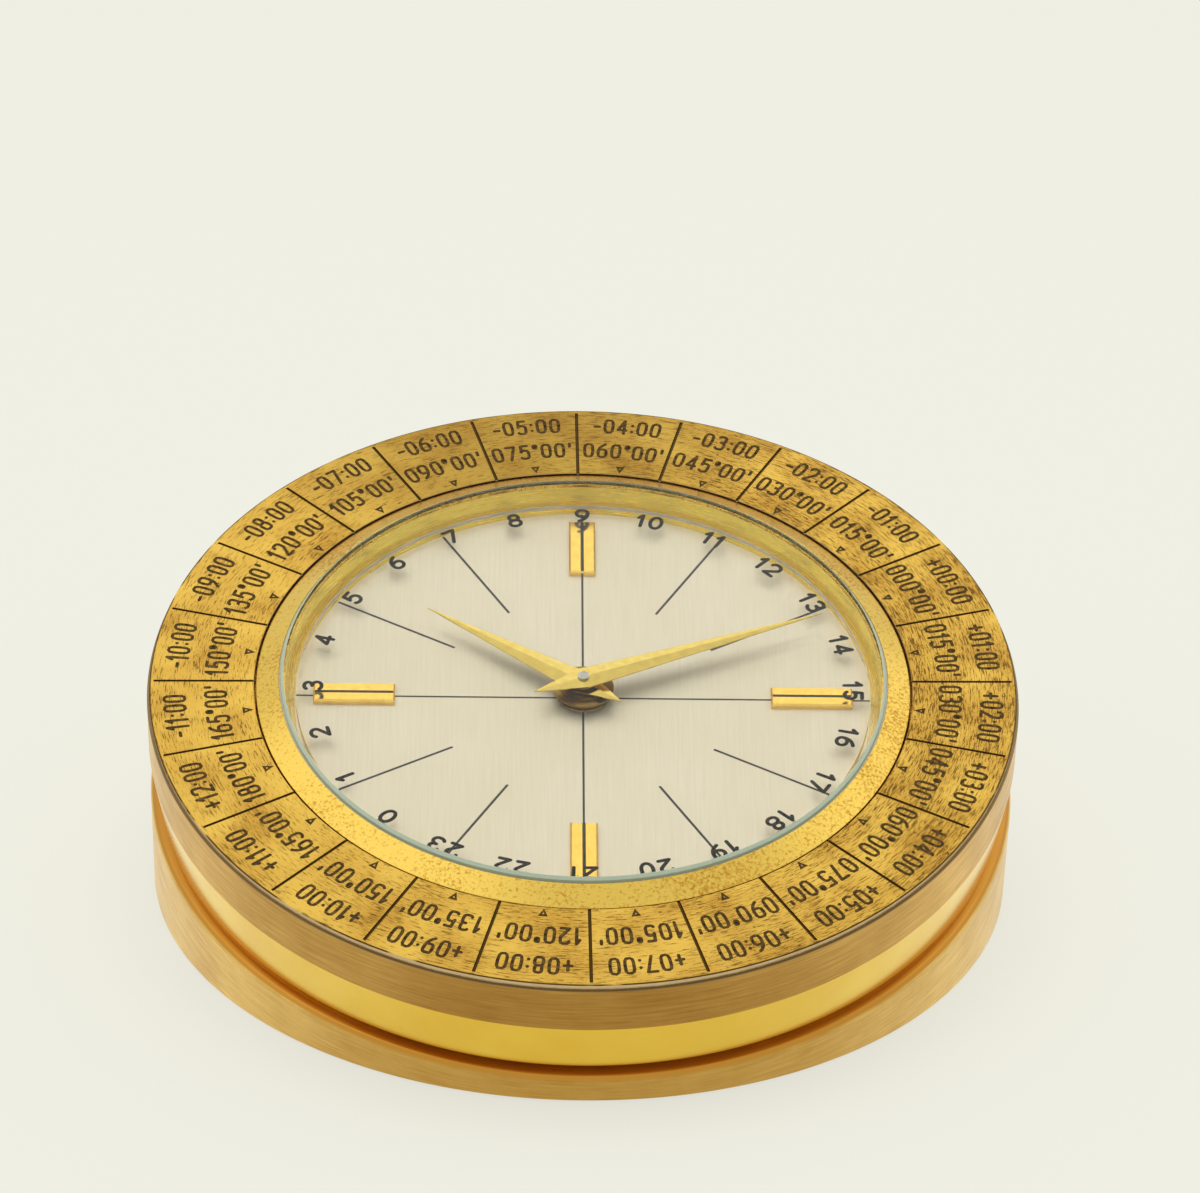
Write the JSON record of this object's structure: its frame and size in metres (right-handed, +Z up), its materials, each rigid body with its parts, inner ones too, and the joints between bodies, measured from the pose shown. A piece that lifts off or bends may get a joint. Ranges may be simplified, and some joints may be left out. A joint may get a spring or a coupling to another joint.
{
  "type": "world time clock",
  "caption": "Round brass desk clock with a slanted face, two hands, a clear day-hour disc that turns backwards and an outer zone ring turned by hand.",
  "frame": {"origin": "centre of the overall box at the table, under the clock", "axes": "+Z up from the table, +Y towards the back where the drum is high, +X to the reader's right"},
  "size_m": [0.11, 0.1168, 0.043],
  "materials": {
    "drum_brass": "turned and brushed brass, lacquered",
    "ring_brass": "satin band over a polished taper",
    "plate_brass": "brushed brass with fine patina specks",
    "bezel_brass": "polished brass",
    "inner_brass": "plain machined brass",
    "wheel_brass": "cut and grained brass",
    "hand_gold": "gold-plated and polished",
    "steel": "hardened and polished steel",
    "screw_steel": "nickel-plated steel screws",
    "spring_steel": "tempered spring steel",
    "crystal_glass": "flat mineral glass with a bevelled edge",
    "disc_clear": "clear disc with printed hours",
    "dial_silver": "silvered and brushed brass",
    "gasket_nylon": "translucent nylon",
    "foot_felt": "dense green felt",
    "knob_brass": "fluted brass"
  },
  "bodies": {
    "root": {"wedge_drum": "drum_brass", "base_plate": "inner_brass", "base_screws": "screw_steel", "foot_pads": "foot_felt", "winding_well": "inner_brass", "ring_spring": "spring_steel", "glass_bezel": "bezel_brass", "bezel_screws": "screw_steel", "crystal": "crystal_glass", "crystal_gasket": "gasket_nylon", "dial_wall": "bezel_brass", "dial_plate": "dial_silver", "dial_spacer": "inner_brass", "hour_bars": "hand_gold", "front_plate": "inner_brass", "back_plate": "inner_brass", "pillars": "inner_brass", "plate_screws": "screw_steel", "click_stud": "steel", "hairspring": "spring_steel"},
    "zone_dial": {"zone_ring": "ring_brass", "zone_plate": "plate_brass"},
    "minute_train": {"minute_hand": "hand_gold", "cannon_pinion": "steel", "centre_arbor": "steel", "clutch_spring": "spring_steel", "setting_knob": "knob_brass"},
    "minute_wheel_body": {"minute_wheel": "wheel_brass"},
    "hour_train": {"hour_hand": "hand_gold", "hour_wheel": "wheel_brass"},
    "idler_body": {"reversing_idler": "wheel_brass"},
    "day_train": {"day_disc": "disc_clear", "disc_hub": "bezel_brass", "hub_washer": "inner_brass", "day_wheel": "wheel_brass"},
    "winding": {"barrel_arbor": "steel", "ratchet_wheel": "steel", "winding_key": "knob_brass"},
    "click_body": {"click": "steel"},
    "barrel_body": {"barrel": "wheel_brass", "mainspring": "spring_steel"},
    "intermediate_body": {"intermediate_wheel": "wheel_brass"},
    "centre_body": {"centre_wheel": "wheel_brass"},
    "third_body": {"third_wheel": "wheel_brass"},
    "fourth_body": {"fourth_wheel": "wheel_brass"},
    "escape_body": {"escape_wheel": "wheel_brass"},
    "lever_body": {"pallet_lever": "steel"},
    "balance_body": {"balance_wheel": "wheel_brass"}
  },
  "joints": [
    {"name": "zone_ring_spin", "type": "hinge", "parent": "root", "child": "zone_dial", "pos_m": [0, -0.00486, 0.03103], "axis": [0, -0.2181, 0.9759], "continuous": true},
    {"name": "minute_spin", "type": "hinge", "parent": "root", "child": "minute_train", "pos_m": [0, -0.00486, 0.03103], "axis": [0, -0.2181, 0.9759], "continuous": true},
    {"name": "minute_wheel_spin", "type": "hinge", "parent": "root", "child": "minute_wheel_body", "pos_m": [-0.00906, -0.00899, 0.03011], "axis": [0, -0.2181, 0.9759], "continuous": true},
    {"name": "hour_spin", "type": "hinge", "parent": "root", "child": "hour_train", "pos_m": [0, -0.00486, 0.03103], "axis": [0, -0.2181, 0.9759], "continuous": true},
    {"name": "idler_spin", "type": "hinge", "parent": "root", "child": "idler_body", "pos_m": [-0.01053, -0.00012, 0.03209], "axis": [0, -0.2181, 0.9759], "continuous": true},
    {"name": "day_disc_spin", "type": "hinge", "parent": "root", "child": "day_train", "pos_m": [0, -0.00486, 0.03103], "axis": [0, -0.2181, 0.9759], "continuous": true},
    {"name": "fourth_spin", "type": "hinge", "parent": "root", "child": "fourth_body", "pos_m": [-0.00468, -0.01482, 0.02881], "axis": [0, -0.2181, 0.9759], "continuous": true},
    {"name": "escape_spin", "type": "hinge", "parent": "root", "child": "escape_body", "pos_m": [0.00344, -0.01622, 0.0285], "axis": [0, -0.2181, 0.9759], "continuous": true},
    {"name": "third_spin", "type": "hinge", "parent": "root", "child": "third_body", "pos_m": [-0.01015, -0.00847, 0.03023], "axis": [0, -0.2181, 0.9759], "continuous": true},
    {"name": "centre_spin", "type": "hinge", "parent": "root", "child": "centre_body", "pos_m": [0, -0.00486, 0.03103], "axis": [0, -0.2181, 0.9759], "continuous": true},
    {"name": "intermediate_spin", "type": "hinge", "parent": "root", "child": "intermediate_body", "pos_m": [0.00983, -0.0005, 0.03201], "axis": [0, -0.2181, 0.9759], "continuous": true},
    {"name": "barrel_spin", "type": "hinge", "parent": "root", "child": "barrel_body", "pos_m": [0, 0.01017, 0.03439], "axis": [0, -0.2181, 0.9759], "continuous": true},
    {"name": "winding_spin", "type": "hinge", "parent": "root", "child": "winding", "pos_m": [0, 0.01017, 0.03439], "axis": [0, -0.2181, 0.9759], "continuous": true},
    {"name": "click_swing", "type": "hinge", "parent": "root", "child": "click_body", "pos_m": [-0.00846, 0.01317, 0.03507], "axis": [0, -0.2181, 0.9759], "range_deg": [0, 10]},
    {"name": "lever_swing", "type": "hinge", "parent": "root", "child": "lever_body", "pos_m": [0.00778, -0.01468, 0.02884], "axis": [0, -0.2181, 0.9759], "range_deg": [-5, 5]},
    {"name": "balance_swing", "type": "hinge", "parent": "root", "child": "balance_body", "pos_m": [0.01436, -0.01234, 0.02936], "axis": [0, -0.2181, 0.9759], "range_deg": [-270, 270], "stiffness_Nm_per_rad": 0.0000015}
  ],
  "couplings": [
    {"joint": "minute_wheel_spin", "follows": "minute_spin", "ratio": -0.33333},
    {"joint": "hour_spin", "follows": "minute_spin", "ratio": 0.083333},
    {"joint": "idler_spin", "follows": "minute_spin", "ratio": 0.092593},
    {"joint": "day_disc_spin", "follows": "minute_spin", "ratio": -0.041667},
    {"joint": "escape_spin", "follows": "fourth_spin", "ratio": -10},
    {"joint": "third_spin", "follows": "fourth_spin", "ratio": -0.13333},
    {"joint": "centre_spin", "follows": "fourth_spin", "ratio": 0.016667},
    {"joint": "intermediate_spin", "follows": "fourth_spin", "ratio": -0.0033333},
    {"joint": "barrel_spin", "follows": "fourth_spin", "ratio": 0.00055556}
  ]
}
